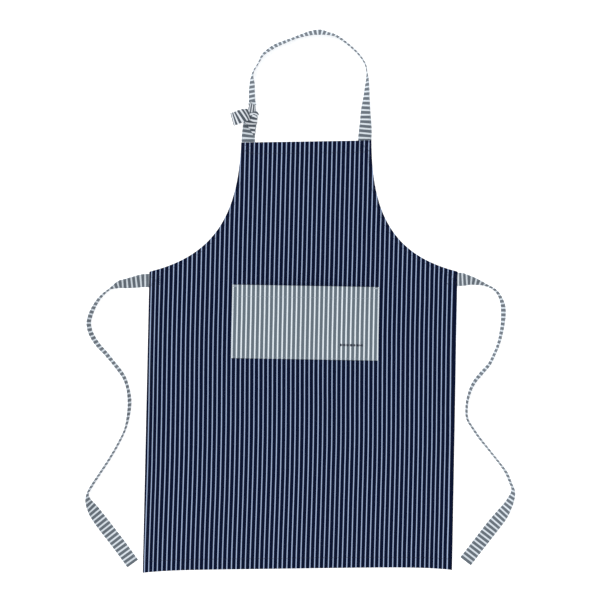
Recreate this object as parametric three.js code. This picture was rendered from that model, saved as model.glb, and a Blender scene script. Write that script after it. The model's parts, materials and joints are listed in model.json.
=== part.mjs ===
// A butcher's bib apron, lying face up on a flat surface.
//
// Millimetres, +Z up, +X to the right of the apron as it lies, +Y towards the neck.
// The origin is at the middle of the footprint of everything but the two waist ties, on the surface.
// Inside the file, places are measured from the middle of the waist line, where the bib meets the skirt.

import * as THREE from 'three';

// ---- Driving dimensions -------------------------------------------------------------------------

const WAIST = { x: 6.3, y: 61.5 };    // middle of the waist line, from the origin

const SKIRT_WIDTH = 647;
const SKIRT_LENGTH = 631;
const BIB_TOP_WIDTH = 273;
const BIB_HEIGHT = 273;
const LEAN = 0.02;                    // the cloth lies out of square: sideways shift per unit of height

const CLOTH = 0.8;                    // thickness of one cloth layer
const GAP = 0.3;                      // air between layers that are sewn together
const EDGE_GAP = 0.4;                 // air between neighbours in one layer

const SIDE_HEM = 12;
const BOTTOM_HEM = 25;
const TOP_HEM = 28;
const ARMHOLE_HEM = 10;

const TAPE_WIDTH = 28;
const TAPE_THICK = 1.6;               // a strip folded and sewn flat
const SEWN_END = 28;                  // length of tape caught under the cloth
const TIE_MIDDLE = { left: -18.5, right: -16 };   // the ties' middle where they are sewn on
const NECK_LONG_X = 128;              // where the neck straps leave the bib top
const NECK_SHORT_X = -116.3;

const POCKET_WIDTH = 308;
const POCKET_HEIGHT = 154;
const POCKET_MIDDLE = { x: 3, y: -106.7 };
const POCKET_TILT = -1;               // degrees
const POCKET_TURNING = 10;
const POCKET_HEM = 27;
const POCKET_DOME = 9;                // how far the mouth's middle stands off the skirt

const THREAD_WIDTH = 1.2;
const THREAD_THICK = 0.4;
const TACK_SIZE = 20;

// ---- Heights of the layers ----------------------------------------------------------------------

const HEM_Z = 0;
const PANEL_Z = HEM_Z + CLOTH + GAP;
const ON_PANEL_Z = PANEL_Z + CLOTH + GAP;
const POCKET_Z = ON_PANEL_Z + CLOTH + GAP;
const ON_POCKET_Z = POCKET_Z + CLOTH + GAP;
const ON_TAPE_Z = TAPE_THICK + GAP;

// ---- Materials ----------------------------------------------------------------------------------

function cloth(color) {
  return new THREE.MeshStandardMaterial({ color, roughness: 0.92, metalness: 0 });
}

const NAVY = cloth('#3a4763');
const NAVY_THREAD = cloth('#131c33');
const CHAMBRAY = cloth('#939fab');
const PALE_THREAD = cloth('#a8b3bf');

// ---- Helpers ------------------------------------------------------------------------------------

const apron = new THREE.Group();
apron.position.set(WAIST.x, WAIST.y, 0);

function add(name, geometry, material, parent = apron) {
  const mesh = new THREE.Mesh(geometry, material);
  mesh.name = name;
  parent.add(mesh);
  return mesh;
}

// A point of the cloth as it lies, leaning a little out of square.
function lie(x, y) {
  return new THREE.Vector2(x + LEAN * y, y);
}

// A flat layer of an outline, with its underside at height z.
function layer(outline, z, thickness = CLOTH, holes = []) {
  const shape = new THREE.Shape(outline);
  shape.holes = holes.map((hole) => new THREE.Path(hole));
  const geometry = new THREE.ExtrudeGeometry(shape, { depth: thickness, bevelEnabled: false });
  return geometry.translate(0, 0, z);
}

// A flat strip of the leaning cloth between two corners.
function patch(left, bottom, right, top, z, thickness) {
  const corners = [lie(left, bottom), lie(right, bottom), lie(right, top), lie(left, top)];
  return layer(corners, z, thickness);
}

// A box-and-cross of sewing, one solid with four three-cornered holes.
function crossTack(size, z) {
  const half = size / 2;
  const inner = half - THREAD_WIDTH;
  const corner = inner - THREAD_WIDTH;
  const outline = [[-half, -half], [half, -half], [half, half], [-half, half]];
  const hole = [[-corner, inner], [0, THREAD_WIDTH], [corner, inner]];
  const turned = (points, quarter) => points.map(([x, y]) => (
    new THREE.Vector2(x, y).rotateAround(new THREE.Vector2(), quarter * Math.PI / 2)));
  const holes = [0, 1, 2, 3].map((quarter) => turned(hole, quarter));
  return layer(turned(outline, 0), z, THREAD_THICK, holes);
}

// A tape bent along a route. Each route point is the tape's middle (x, y), how far the tape is turned
// from lying flat (degrees, positive with the edge on the right of its way up; 90 stands on edge and 180
// lies flat on its other face) and how high it is lifted.
function tape(route, steps) {
  const way = new THREE.CatmullRomCurve3(
    route.map(([x, y]) => new THREE.Vector3(x, y, 0)), false, 'catmullrom');
  const pose = new THREE.CatmullRomCurve3(
    route.map(([, , lean, lift = 0]) => new THREE.Vector3(lean, lift, 0)), false, 'catmullrom');

  function middle(t) {
    const { x: degrees, y: lift } = pose.getPoint(t);
    const lean = THREE.MathUtils.degToRad(degrees);
    const spot = way.getPoint(t);
    const height = Math.abs(Math.sin(lean)) * TAPE_WIDTH + Math.abs(Math.cos(lean)) * TAPE_THICK;
    spot.z = height / 2 + Math.max(lift, 0);
    return { spot, lean };
  }

  const geometry = new THREE.BoxGeometry(1, TAPE_WIDTH, TAPE_THICK, steps, 1, 1);
  const position = geometry.attributes.position;
  const small = 1e-3;
  for (let i = 0; i < position.count; i += 1) {
    const t = position.getX(i) + 0.5;
    const { spot, lean } = middle(t);
    const before = middle(Math.max(t - small, 0)).spot;
    const after = middle(Math.min(t + small, 1)).spot;
    const heading = after.sub(before).normalize();
    const side = new THREE.Vector3(-heading.y, heading.x, 0).normalize();
    const up = new THREE.Vector3().crossVectors(heading, side);
    const across = side.clone().multiplyScalar(Math.cos(lean)).addScaledVector(up, -Math.sin(lean));
    const face = up.clone().multiplyScalar(Math.cos(lean)).addScaledVector(side, Math.sin(lean));
    spot.addScaledVector(across, position.getY(i)).addScaledVector(face, position.getZ(i));
    position.setXYZ(i, spot.x, spot.y, spot.z);
  }
  return geometry;
}

// ---- Skirt: panel, hems and their sewing --------------------------------------------------------

const half = SKIRT_WIDTH / 2;
const hemTop = TIE_MIDDLE.left - TAPE_WIDTH / 2 - EDGE_GAP;
const hemBottom = -SKIRT_LENGTH + BOTTOM_HEM + EDGE_GAP;

add('skirt_panel', patch(-half, -SKIRT_LENGTH, half, 0, PANEL_Z), NAVY);
add('bottom_hem', patch(-half, -SKIRT_LENGTH, half, -SKIRT_LENGTH + BOTTOM_HEM, HEM_Z), NAVY);
add('side_hem_left', patch(-half, hemBottom, -half + SIDE_HEM, hemTop, HEM_Z), NAVY);
add('side_hem_right', patch(half - SIDE_HEM, hemBottom, half, hemTop, HEM_Z), NAVY);

const bottomSeam = -SKIRT_LENGTH + BOTTOM_HEM - 3;
const sideSeam = half - SIDE_HEM + 3;
add('bottom_hem_stitching',
  patch(-half + 1, bottomSeam, half - 1, bottomSeam + THREAD_WIDTH, ON_PANEL_Z, THREAD_THICK), NAVY_THREAD);
for (const [side, sign] of [['left', -1], ['right', 1]]) {
  const [near, far] = [sign * sideSeam, sign * (sideSeam + THREAD_WIDTH)];
  add(`side_hem_stitching_${side}`,
    patch(Math.min(near, far), bottomSeam + 2, Math.max(near, far), hemTop, ON_PANEL_Z, THREAD_THICK),
    NAVY_THREAD);
}

// ---- Bib: panel, hems and their sewing ----------------------------------------------------------

const topHalf = BIB_TOP_WIDTH / 2;
const armhole = new THREE.CubicBezierCurve(
  new THREE.Vector2(half, EDGE_GAP),
  new THREE.Vector2(174, 36),
  new THREE.Vector2(140, 138),
  new THREE.Vector2(topHalf, BIB_HEIGHT));
const ARMHOLE_STEPS = 28;

// Points along one armhole, a distance in from its edge. sign is -1 on the left and 1 on the right.
function alongArmhole(sign, inset, from = 0, to = 1) {
  const points = [];
  for (let i = 0; i <= ARMHOLE_STEPS; i += 1) {
    const t = from + (to - from) * i / ARMHOLE_STEPS;
    const point = armhole.getPoint(t);
    const tangent = armhole.getTangent(t);
    points.push(lie(sign * (point.x - inset * tangent.y), point.y + inset * tangent.x));
  }
  return points;
}

// A flat band that follows one armhole between two distances from its edge.
function armholeBand(sign, near, far, from, to, z, thickness) {
  const outline = [...alongArmhole(sign, near, from, to), ...alongArmhole(sign, far, from, to).reverse()];
  return layer(outline, z, thickness);
}

add('bib_panel', layer([...alongArmhole(1, 0), ...alongArmhole(-1, 0).reverse()], PANEL_Z), NAVY);

const ARMHOLE_HEM_FROM = 0.2;         // clear of the waist corner's point
const ARMHOLE_HEM_TO = 0.92;          // clear of the neck straps' sewn ends
for (const [side, sign] of [['left', -1], ['right', 1]]) {
  add(`armhole_hem_${side}`,
    armholeBand(sign, 0, ARMHOLE_HEM, ARMHOLE_HEM_FROM, ARMHOLE_HEM_TO, HEM_Z), NAVY);
  add(`armhole_stitching_${side}`,
    armholeBand(sign, 7, 7 + THREAD_WIDTH, ARMHOLE_HEM_FROM, ARMHOLE_HEM_TO, ON_PANEL_Z, THREAD_THICK),
    NAVY_THREAD);
}

const tapeHalf = TAPE_WIDTH / 2;
const topLean = LEAN * BIB_HEIGHT;
const stubs = [['long', NECK_LONG_X], ['short', NECK_SHORT_X]];
const hemEnds = stubs.map(([, x]) => x - topLean - Math.sign(x) * (tapeHalf + EDGE_GAP + 1));
add('bib_top_hem',
  patch(Math.min(...hemEnds), BIB_HEIGHT - TOP_HEM, Math.max(...hemEnds), BIB_HEIGHT, HEM_Z), NAVY);
const topSeam = BIB_HEIGHT - TOP_HEM + 3;
const seamEnd = NECK_LONG_X - topLean - TAPE_WIDTH;
add('bib_top_stitching',
  patch(-seamEnd, topSeam, seamEnd, topSeam + THREAD_WIDTH, ON_PANEL_Z, THREAD_THICK), NAVY_THREAD);

// ---- Sewn ends of the tapes, caught in the hems --------------------------------------------------

for (const [strap, x] of stubs) {
  const end = new THREE.BoxGeometry(TAPE_WIDTH, SEWN_END, CLOTH);
  const middle = BIB_HEIGHT - SEWN_END / 2;
  add(`neck_${strap}_sewn_end`, end, CHAMBRAY).position.set(x, middle, HEM_Z + CLOTH / 2);
  add(`neck_${strap}_tack`, crossTack(TACK_SIZE, ON_PANEL_Z), NAVY_THREAD).position.set(x, middle, 0);
}

for (const [side, sign] of [['left', -1], ['right', 1]]) {
  const end = new THREE.BoxGeometry(SEWN_END, TAPE_WIDTH, CLOTH);
  const x = sign * (half - SEWN_END / 2 - 1);
  const y = TIE_MIDDLE[side];
  add(`tie_${side}_sewn_end`, end, CHAMBRAY).position.set(x, y, HEM_Z + CLOTH / 2);
  add(`tie_${side}_tack`, crossTack(TACK_SIZE, ON_PANEL_Z), NAVY_THREAD).position.set(x, y, 0);
}

// ---- Pocket --------------------------------------------------------------------------------------

const pocket = new THREE.Group();
pocket.position.set(POCKET_MIDDLE.x, POCKET_MIDDLE.y, 0);
pocket.rotation.z = THREE.MathUtils.degToRad(POCKET_TILT);
apron.add(pocket);

const pocketHalf = POCKET_WIDTH / 2;
const mouth = POCKET_HEIGHT / 2;

// How far the pocket stands off the skirt at a point measured from its middle.
function dome(x, y) {
  const across = Math.min(Math.abs(x) / pocketHalf, 1);
  const rise = THREE.MathUtils.smoothstep(y, -mouth, mouth);
  return POCKET_DOME * (1 - across ** 2) ** 2 * rise;
}

// A sheet with its middle at height y on the pocket, bent to the pocket's dome.
function domed(width, height, y, z, thickness, columns, rows) {
  const geometry = new THREE.BoxGeometry(width, height, thickness, columns, rows, 1);
  geometry.translate(0, y, z + thickness / 2);
  const position = geometry.attributes.position;
  for (let i = 0; i < position.count; i += 1) {
    position.setZ(i, position.getZ(i) + dome(position.getX(i), position.getY(i)));
  }
  return geometry;
}

// A U of cloth or thread round the pocket's sides and bottom, between two distances from its edge.
function pocketU(near, far, top, z, thickness) {
  const outline = [
    [-pocketHalf + near, top], [-pocketHalf + near, -mouth + near],
    [pocketHalf - near, -mouth + near], [pocketHalf - near, top],
    [pocketHalf - far, top], [pocketHalf - far, -mouth + far],
    [-pocketHalf + far, -mouth + far], [-pocketHalf + far, top],
  ].map(([x, y]) => new THREE.Vector2(x, y));
  return layer(outline, z, thickness);
}

add('pocket_panel', domed(POCKET_WIDTH, POCKET_HEIGHT, 0, POCKET_Z, CLOTH, 24, 12), CHAMBRAY, pocket);
add('pocket_top_hem',
  domed(POCKET_WIDTH, POCKET_HEM, mouth - POCKET_HEM / 2, ON_PANEL_Z, CLOTH, 24, 2), CHAMBRAY, pocket);
add('pocket_edge_turning',
  pocketU(0, POCKET_TURNING, mouth - POCKET_HEM - EDGE_GAP, ON_PANEL_Z), CHAMBRAY, pocket);
add('pocket_stitching',
  pocketU(2.5, 2.5 + THREAD_WIDTH, mouth - 7, ON_POCKET_Z, THREAD_THICK), PALE_THREAD, pocket);
add('pocket_hem_stitching',
  domed(POCKET_WIDTH - 12, THREAD_WIDTH, mouth - POCKET_HEM + 2, ON_POCKET_Z, THREAD_THICK, 24, 1),
  PALE_THREAD, pocket);

const TACK_BAR = { width: 9, height: 3, thick: 0.5 };
for (const [side, sign] of [['left', -1], ['right', 1]]) {
  const bar = new THREE.BoxGeometry(TACK_BAR.width, TACK_BAR.height, TACK_BAR.thick);
  add(`pocket_mouth_tack_${side}`, bar, PALE_THREAD, pocket)
    .position.set(sign * (pocketHalf - 6), mouth - 3, ON_POCKET_Z + TACK_BAR.thick / 2);
}

const MARK = { width: 49, height: 7, x: 97.5, y: -45.5 };
const mark = new THREE.BoxGeometry(MARK.width, MARK.height, THREAD_THICK);
add('pocket_mark', mark, NAVY_THREAD, pocket)
  .position.set(MARK.x, MARK.y, ON_POCKET_Z + dome(MARK.x - MARK.width / 2, MARK.y) + GAP);

// ---- Waist ties ----------------------------------------------------------------------------------

const TIE_LEFT_ROUTE = [
  [-325.3, TIE_MIDDLE.left, 0], [-332, -18.6, 6], [-341, -19.4, 17], [-355, -22, 32],
  [-370, -24.5, 44], [-384.5, -26.5, 57], [-395, -31, 73], [-404.5, -36, 87], [-417.5, -46, 86],
  [-429, -58.5, 83], [-437.5, -72.5, 80], [-444.5, -88, 77], [-449, -105, 77], [-447, -122, 76],
  [-440, -138, 75],
  [-428.5, -154.5, 76], [-413.5, -171, 78], [-399, -188.5, 80], [-385.5, -205.5, 79],
  [-374.5, -222.5, 81], [-367.5, -244, 83], [-364, -269, 79], [-365.5, -294, 81],
  [-372.5, -327.5, 86], [-387.5, -359.5, 85], [-407, -393, 84], [-428.5, -425.5, 84],
  [-444, -449.5, 83], [-452, -466, 86], [-450, -481, 68], [-440.5, -498.5, 40], [-431, -513, 26],
  [-412.5, -538.5, 10], [-386, -573.5, 0], [-358.5, -611.5, 0],
];

const TIE_RIGHT_ROUTE = [
  [324.7, TIE_MIDDLE.right, 0], [333, -16.1, -17], [344, -17.5, -42], [354, -19.5, -56],
  [366.5, -23, -70], [379, -27.5, -82], [392.5, -33.5, -87], [403, -41.5, -85], [410.5, -53.5, -83],
  [416, -70, -77], [417, -89, -76], [416, -105, -79], [413.5, -122, -81], [408, -147, -84],
  [400, -168, -85], [388, -192.5, -83], [371, -212.5, -80], [355.5, -232, -82], [345.5, -255, -85],
  [340.5, -279, -86], [341, -305.5, -86], [350.5, -323.5, -85], [367, -347.5, -84],
  [386.5, -372, -85], [406, -396.5, -85], [422, -418.5, -83], [432, -441.5, -84],
  [437.5, -457, -82], [434, -473.5, -68], [425.5, -491, -54], [414.5, -508.5, -32],
  [395, -534, -12], [370, -567, 0], [339, -607, 0],
];

const TIE_STEPS = 76;
add('tie_left', tape(TIE_LEFT_ROUTE, TIE_STEPS), CHAMBRAY);
add('tie_right', tape(TIE_RIGHT_ROUTE, TIE_STEPS), CHAMBRAY);

// ---- Neck loop: a long strap and a short strap, knotted together -----------------------------------

const KNOT = { x: -107.5, y: 338, radii: [9.5, 16.4, 7.4] };

const NECK_LONG_ROUTE = [
  [NECK_LONG_X, BIB_HEIGHT + EDGE_GAP, 0], [NECK_LONG_X, BIB_HEIGHT + 9, 6], [128.8, 295, 17],
  [129.3, 314, 34], [129.2, 334, 45], [130.2, 353, 57], [131.3, 370, 66], [132.3, 388, 74],
  [132.7, 403, 82], [131.8, 416, 92], [129.5, 431, 97], [121, 446.5, 100], [107, 462.5, 102],
  [86, 480.5, 103], [67, 493, 106], [51, 497.5, 110], [33.5, 500.5, 120], [14.5, 498.5, 116],
  [-3.5, 493.5, 110], [-22, 487, 106], [-40, 480, 109], [-58, 472.5, 111], [-74, 462.5, 109],
  [-86.5, 451.5, 103], [-95, 435.5, 98], [-104, 421, 98], [-108, 408, 100], [-108, 393, 113],
  [-108.5, 377, 117], [-108, KNOT.y + KNOT.radii[1] + 2, 120],
];

const NECK_SHORT_ROUTE = [
  [NECK_SHORT_X, BIB_HEIGHT + EDGE_GAP, 0], [NECK_SHORT_X, BIB_HEIGHT + 9, 0], [-113.9, 300, 0],
  [-111.2, KNOT.y - KNOT.radii[1] - 1.5, 0],
];

// One end arches out to the left of the knot.
const NECK_TAIL_ROUTE = [
  [-118.5, 329.5, 0, 15], [-124, 327.4, 0, 22], [-130.5, 324.6, 0, 25], [-137, 321.8, 0, 22],
  [-143.5, 319.2, 0, 15.5], [-149, 317, 0, 9],
];

// The other end is folded down over the short strap and narrows to a point.
const NECK_FLAP = [
  [-123.5, 315], [-114.5, 302], [-108.5, 292], [-102.5, 283.5], [-100.5, 303], [-98, 317],
];

add('neck_strap_long', tape(NECK_LONG_ROUTE, 72), CHAMBRAY);
add('neck_strap_short', tape(NECK_SHORT_ROUTE, 6), CHAMBRAY);
add('neck_tail', tape(NECK_TAIL_ROUTE, 8), CHAMBRAY);
const flapOutline = NECK_FLAP.map(([x, y]) => new THREE.Vector2(x, y));
add('neck_flap', layer(flapOutline, ON_TAPE_Z, TAPE_THICK), CHAMBRAY);
add('neck_knot', new THREE.SphereGeometry(1, 20, 12).scale(...KNOT.radii), CHAMBRAY)
  .position.set(KNOT.x, KNOT.y, KNOT.radii[2] + GAP);

export default apron;
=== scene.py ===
# Looks of the butcher's apron: cloth, pocket, tapes, knot and every row of sewing, in metres.
#
# Places on the apron are measured from the middle of its waist line: u to the right, v towards the neck.

import json
import math

import bpy
import numpy as np
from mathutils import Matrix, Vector


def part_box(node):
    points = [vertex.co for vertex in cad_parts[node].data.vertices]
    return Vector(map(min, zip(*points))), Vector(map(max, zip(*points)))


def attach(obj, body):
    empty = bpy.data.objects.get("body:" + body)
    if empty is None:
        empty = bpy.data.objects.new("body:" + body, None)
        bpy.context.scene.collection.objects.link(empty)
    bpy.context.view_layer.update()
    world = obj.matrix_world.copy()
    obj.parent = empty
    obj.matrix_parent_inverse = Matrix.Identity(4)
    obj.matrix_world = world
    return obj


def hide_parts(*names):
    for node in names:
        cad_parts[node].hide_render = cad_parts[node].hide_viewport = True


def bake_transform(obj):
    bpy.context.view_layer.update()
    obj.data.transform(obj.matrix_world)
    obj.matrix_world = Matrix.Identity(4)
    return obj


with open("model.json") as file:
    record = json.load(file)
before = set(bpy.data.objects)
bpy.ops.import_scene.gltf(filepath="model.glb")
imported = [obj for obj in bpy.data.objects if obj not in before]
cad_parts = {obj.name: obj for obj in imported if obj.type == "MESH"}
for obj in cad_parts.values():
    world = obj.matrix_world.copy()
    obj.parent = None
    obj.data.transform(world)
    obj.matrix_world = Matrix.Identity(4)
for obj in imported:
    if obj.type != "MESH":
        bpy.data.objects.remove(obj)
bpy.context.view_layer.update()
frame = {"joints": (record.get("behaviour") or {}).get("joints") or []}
joints = {joint["name"]: joint for joint in frame["joints"]}

# ---- Driving dimensions -------------------------------------------------------------------------

WAIST = Vector(joints["bib_fold"]["pos_m"])
PANEL_TOP = WAIST.z                      # upper side of the apron cloth over its hems

SKIRT_WIDTH = 0.647
SKIRT_LENGTH = WAIST.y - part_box("skirt_panel")[0].y
BIB_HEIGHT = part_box("bib_panel")[1].y - WAIST.y
BIB_TOP_WIDTH = 0.273
ARMHOLE_BEND = [(0.174, 0.036), (0.140, 0.138)]      # middle control points of the armhole's curve
ARMHOLE_LIFT = 0.0004                    # the armhole starts this far above the waist line
LEAN = 0.02                              # the cloth lies out of square: sideways shift per unit of v

CLOTH = 0.0006                           # thickness of one layer
EDGE_ROLL = 0.0008                       # radius of a folded edge
SAG = 0.0004                             # the cloth settles this much where there is no hem under it
WAVE = 0.0008                            # height of the slow waves in the cloth
SIDE_HEM = 0.012
BOTTOM_HEM = 0.025
TOP_HEM = 0.028
ARMHOLE_HEM = 0.010

TAPE_WIDTH = 0.028
TAPE_THICK = 0.0016
SEWN_IN = 0.024                          # length of tape caught under the cloth
TIE_LEFT_V = -0.0185                     # the ties' middle where they are sewn on
TIE_RIGHT_V = -0.0160
NECK_LONG_U = 0.128                      # where the neck straps leave the bib top
NECK_SHORT_U = -0.1163

POCKET_MIDDLE = (0.0030, -0.1067)
POCKET_TILT = math.radians(-1)
POCKET_WIDTH = 0.308
POCKET_HEIGHT = 0.154
POCKET_TURNING = 0.010
POCKET_HEM = 0.027
POCKET_DOME = 0.009                      # how far the mouth's middle stands off the skirt
POCKET_STRIPES = 0.0019                  # distance of a stripe's middle in from the pocket's left edge

STRIPE_PITCH = 0.00959                   # of the apron cloth and of the tapes
POCKET_PITCH = 0.00953
YARN = 0.00045                           # spacing of the yarns in the weave

STITCH = 0.0030
STITCH_GAP = 0.0007
TACK_SIZE = 0.020                        # the box of sewing that holds a tape's end
SIDE_SEAM = 0.0036                       # side and top hems' sewing, out from the hem's inner edge
BOTTOM_SEAM = 0.0024                     # the same for the bottom hem
ARMHOLE_SEAM = 0.0076                    # the armhole's sewing, in from the edge
POCKET_SEAM = 0.0031                     # the pocket's sewing, in from its edge
THREAD_RADIUS = 0.00028

# ---- Tape routes: (x, y, turn in degrees), from the waist's middle -------------------------------
#
# A turn of 0 lies flat, 90 stands on edge with the right-hand edge up, and 180 lies on the other face.

TIE_LEFT_ROUTE = [
    (-0.3253, TIE_LEFT_V, 0), (-0.332, -0.0186, 6), (-0.341, -0.0194, 17), (-0.355, -0.022, 32),
    (-0.37, -0.0245, 44), (-0.3845, -0.0265, 57), (-0.395, -0.031, 73), (-0.4045, -0.036, 87),
    (-0.4175, -0.046, 86), (-0.429, -0.0585, 83), (-0.4375, -0.0725, 80), (-0.4445, -0.088, 77),
    (-0.449, -0.105, 77), (-0.447, -0.122, 76), (-0.44, -0.138, 75), (-0.4285, -0.1545, 76),
    (-0.4135, -0.171, 78), (-0.399, -0.1885, 80), (-0.3855, -0.2055, 79), (-0.3745, -0.2225, 81),
    (-0.3675, -0.244, 83), (-0.364, -0.269, 79), (-0.3655, -0.294, 81), (-0.3725, -0.3275, 86),
    (-0.3875, -0.3595, 85), (-0.407, -0.393, 84), (-0.4285, -0.4255, 84), (-0.444, -0.4495, 83),
    (-0.452, -0.466, 86), (-0.45, -0.481, 68), (-0.4405, -0.4985, 40), (-0.431, -0.513, 26),
    (-0.4125, -0.5385, 10), (-0.386, -0.5735, 0), (-0.3585, -0.6115, 0),
]
TIE_RIGHT_ROUTE = [
    (0.3247, TIE_RIGHT_V, 0), (0.333, -0.0161, -17), (0.344, -0.0175, -42), (0.354, -0.0195, -56),
    (0.3665, -0.023, -70), (0.379, -0.0275, -82), (0.3925, -0.0335, -87), (0.403, -0.0415, -85),
    (0.4105, -0.0535, -83), (0.416, -0.07, -77), (0.417, -0.089, -76), (0.416, -0.105, -79),
    (0.4135, -0.122, -81), (0.408, -0.147, -84), (0.4, -0.168, -85), (0.388, -0.1925, -83),
    (0.371, -0.2125, -80), (0.3555, -0.232, -82), (0.3455, -0.255, -85), (0.3405, -0.279, -86),
    (0.341, -0.3055, -86), (0.3505, -0.3235, -85), (0.367, -0.3475, -84), (0.3865, -0.372, -85),
    (0.406, -0.3965, -85), (0.422, -0.4185, -83), (0.432, -0.4415, -84), (0.4375, -0.457, -82),
    (0.434, -0.4735, -68), (0.4255, -0.491, -54), (0.4145, -0.5085, -32), (0.395, -0.534, -12),
    (0.37, -0.567, 0), (0.339, -0.607, 0),
]
NECK_LONG_ROUTE = [
    (NECK_LONG_U, 0.2734, 0), (NECK_LONG_U, 0.282, 6), (0.1288, 0.295, 17), (0.1293, 0.314, 34),
    (0.1292, 0.334, 45), (0.1302, 0.353, 57), (0.1313, 0.37, 66), (0.1323, 0.388, 74),
    (0.1327, 0.403, 82), (0.1318, 0.416, 92), (0.1295, 0.431, 97), (0.121, 0.4465, 100),
    (0.107, 0.4625, 102), (0.086, 0.4805, 103), (0.067, 0.493, 106), (0.051, 0.4975, 110),
    (0.0335, 0.5005, 120), (0.0145, 0.4985, 116), (-0.0035, 0.4935, 110), (-0.022, 0.487, 106),
    (-0.04, 0.48, 109), (-0.058, 0.4725, 111), (-0.074, 0.4625, 109), (-0.0865, 0.4515, 103),
    (-0.095, 0.4355, 98), (-0.104, 0.421, 98), (-0.108, 0.408, 100), (-0.108, 0.393, 113),
    (-0.1085, 0.377, 117), (-0.108, 0.3564, 120),
]
NECK_SHORT_ROUTE = [
    (NECK_SHORT_U, 0.2734, 0), (NECK_SHORT_U, 0.282, 0), (-0.1139, 0.3, 0), (-0.1112, 0.3201, 0),
]

# ---- Small helpers ------------------------------------------------------------------------------

def smooth(value, low, high):
    """0 below low, 1 above high, and an S-curve between."""
    share = np.clip((value - low) / (high - low), 0, 1)
    return share * share * (3 - 2 * share)


def unit(vectors):
    return vectors / np.linalg.norm(vectors, axis=-1, keepdims=True)


def distances(points):
    """How far along a line of points each one is."""
    steps = np.linalg.norm(np.diff(points, axis=0), axis=1)
    return np.concatenate([[0], np.cumsum(steps)])


def at_distances(points, here, wanted):
    return np.column_stack([np.interp(wanted, here, column) for column in points.T])


def curve_through(points, per_span=24):
    """A smooth curve through points, with any number of columns."""
    knots = np.array(points, float)
    knots = np.vstack([2 * knots[0] - knots[1], knots, 2 * knots[-1] - knots[-2]])
    before, start, end, after = knots[:-3], knots[1:-2], knots[2:-1], knots[3:]
    spans = []
    for t in np.arange(per_span) / per_span:
        spans.append(0.5 * (2 * start + (end - before) * t
                            + (2 * before - 5 * start + 4 * end - after) * t ** 2
                            + (3 * start - before - 3 * end + after) * t ** 3))
    curve = np.stack(spans, axis=1).reshape(-1, knots.shape[1])
    return np.vstack([curve, knots[-2]])


# ---- Materials ----------------------------------------------------------------------------------

LIGHT_LEVEL = 1.18                       # how much brighter than its own colour a surface is lit


def colour(red, green, blue):
    """The colour that a surface needs, from the sRGB values it should have when it is lit."""
    encoded = np.array([red, green, blue]) / 255
    linear = np.where(encoded <= 0.04045, encoded / 12.92, ((encoded + 0.055) / 1.055) ** 2.4)
    return (*(linear / LIGHT_LEVEL), 1)


class Surface:
    """A material whose nodes are made one call at a time."""

    def __init__(self, name, roughness, sheen=0, sheen_tint=(1, 1, 1, 1), specular=0.1):
        self.material = bpy.data.materials.new(name)
        self.material.use_nodes = True
        self.tree = self.material.node_tree
        self.shader = self.tree.nodes["Principled BSDF"]
        self.shader.inputs["Roughness"].default_value = roughness
        self.shader.inputs["Specular IOR Level"].default_value = specular
        self.shader.inputs["Sheen Weight"].default_value = sheen
        self.shader.inputs["Sheen Roughness"].default_value = 0.5
        self.shader.inputs["Sheen Tint"].default_value = sheen_tint

    def put(self, value, socket):
        if isinstance(value, bpy.types.NodeSocket):
            self.tree.links.new(value, socket)
        else:
            socket.default_value = value

    def node(self, kind, inputs, output=0, **settings):
        made = self.tree.nodes.new(kind)
        for key, value in settings.items():
            setattr(made, key, value)
        for key, value in inputs.items():
            self.put(value, made.inputs[key])
        return made.outputs[output]

    def math(self, operation, *values):
        return self.node("ShaderNodeMath", dict(enumerate(values)), operation=operation)

    def ramp(self, value, low, high, at_low=0, at_high=1):
        inputs = {"Value": value, "From Min": low, "From Max": high, "To Min": at_low, "To Max": at_high}
        return self.node("ShaderNodeMapRange", inputs, interpolation_type="SMOOTHSTEP")

    def mix(self, share, first, second):
        inputs = {0: share, 6: first, 7: second}
        return self.node("ShaderNodeMix", inputs, output=2, data_type="RGBA")

    def noise(self, x, y, scale_x, scale_y, detail=2):
        """Noise with its own scale along each of the cloth's two directions."""
        place = self.node("ShaderNodeCombineXYZ", {
            0: self.math("MULTIPLY", x, scale_x), 1: self.math("MULTIPLY", y, scale_y)})
        return self.node("ShaderNodeTexNoise", {"Vector": place, "Scale": 1, "Detail": detail})

    def cloth_place(self):
        """Where a point is on the flat cloth: across its stripes, and along them."""
        attribute = self.node("ShaderNodeAttribute", {}, output="Vector", attribute_name="cloth")
        split = self.tree.nodes.new("ShaderNodeSeparateXYZ")
        self.put(attribute, split.inputs[0])
        return split.outputs[0], split.outputs[1]

    def finish(self, tint, height, distance, strength):
        self.put(tint, self.shader.inputs["Base Color"])
        bump = self.node("ShaderNodeBump", {"Height": height, "Distance": distance, "Strength": strength})
        self.put(bump, self.shader.inputs["Normal"])
        return self.material


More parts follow.
